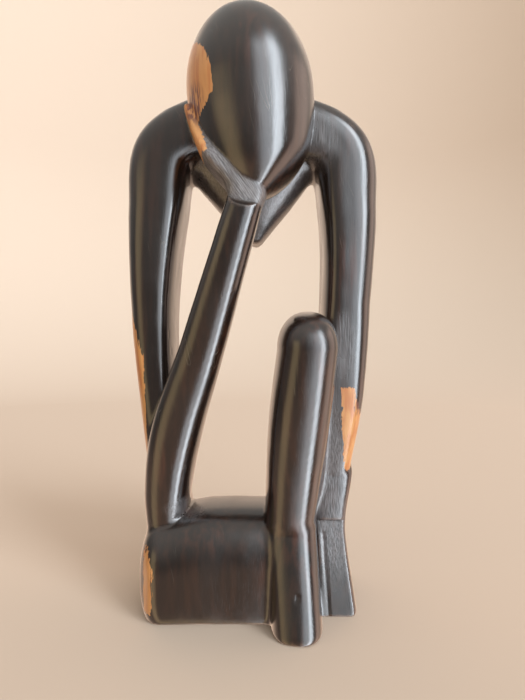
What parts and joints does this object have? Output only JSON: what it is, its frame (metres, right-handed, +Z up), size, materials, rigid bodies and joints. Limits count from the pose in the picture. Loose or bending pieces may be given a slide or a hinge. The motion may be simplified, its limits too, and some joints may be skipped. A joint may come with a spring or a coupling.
{
  "type": "seated figure sculpture",
  "caption": "Abstract seated thinker carved in dark wood: hunched figure with a smooth egg head resting on one hand, one knee raised and the other leg folded flat.",
  "frame": {"origin": "middle of the outline, on the ground that the legs and the hand stand on", "axes": "+Z up, -Y the way the figure faces, +X the figure's own left"},
  "size_m": [0.107, 0.066, 0.2424],
  "materials": {
    "ebony": "satin polish",
    "sapwood": "satin polish"
  },
  "bodies": {
    "root": {"head": "ebony", "head_sapwood": "sapwood", "shoulder_yoke": "ebony", "chest": "ebony", "right_upper_arm": "ebony", "right_arm_sapwood": "sapwood", "right_forearm": "ebony", "right_hand": "ebony", "right_hand_sapwood": "sapwood", "left_upper_arm": "ebony", "left_forearm": "ebony", "left_arm_sapwood": "sapwood", "left_hand": "ebony", "folded_leg": "ebony", "folded_leg_sapwood": "sapwood", "raised_shin": "ebony", "raised_foot": "ebony", "raised_thigh": "ebony", "seat": "ebony"}
  },
  "joints": []
}
